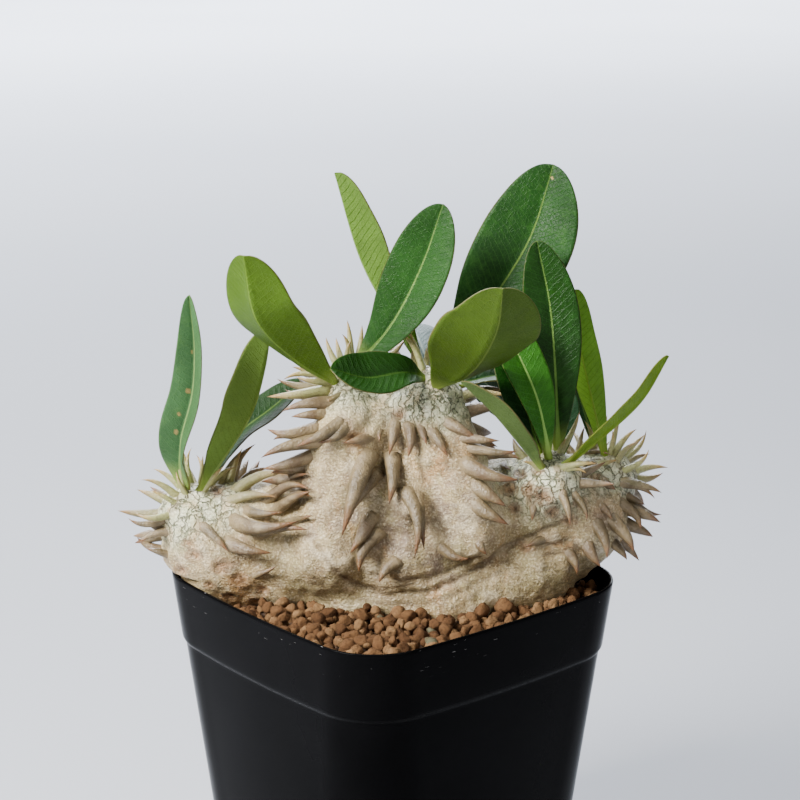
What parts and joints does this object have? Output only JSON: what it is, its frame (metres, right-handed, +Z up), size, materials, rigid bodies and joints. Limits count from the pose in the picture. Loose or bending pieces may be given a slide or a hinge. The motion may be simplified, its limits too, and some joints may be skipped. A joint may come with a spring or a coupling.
{
  "type": "potted pachypodium",
  "caption": "Squat grey caudex plant with spiny branch heads and broad green leaves, set in tan granules in a square black pot.",
  "frame": {"origin": "middle of the pot's flat base", "axes": "+Z up along the pot; the pot's sides face along X and Y; the pictured view looks from -X -Y, about 39 degrees from -Y towards -X"},
  "size_m": [0.1424, 0.1252, 0.2302],
  "materials": {
    "black_plastic": "glossy black with faint scuffs",
    "granules": "matt baked clay granules",
    "caudex_skin": "matt pale bark, pale green and cracked near the tips",
    "leaf": "satin green leaf with a pale midrib"
  },
  "bodies": {
    "root": {"pot": "black_plastic", "substrate": "granules", "caudex": "caudex_skin", "leaf_01": "leaf", "leaf_02": "leaf", "leaf_03": "leaf", "leaf_04": "leaf", "leaf_05": "leaf", "leaf_06": "leaf", "leaf_07": "leaf", "leaf_08": "leaf", "leaf_09": "leaf", "leaf_10": "leaf", "leaf_11": "leaf", "leaf_12": "leaf", "leaf_13": "leaf", "leaf_14": "leaf", "leaf_15": "leaf", "leaf_16": "leaf", "leaf_17": "leaf", "leaf_18": "leaf", "leaf_19": "leaf", "leaf_20": "leaf"}
  },
  "joints": []
}
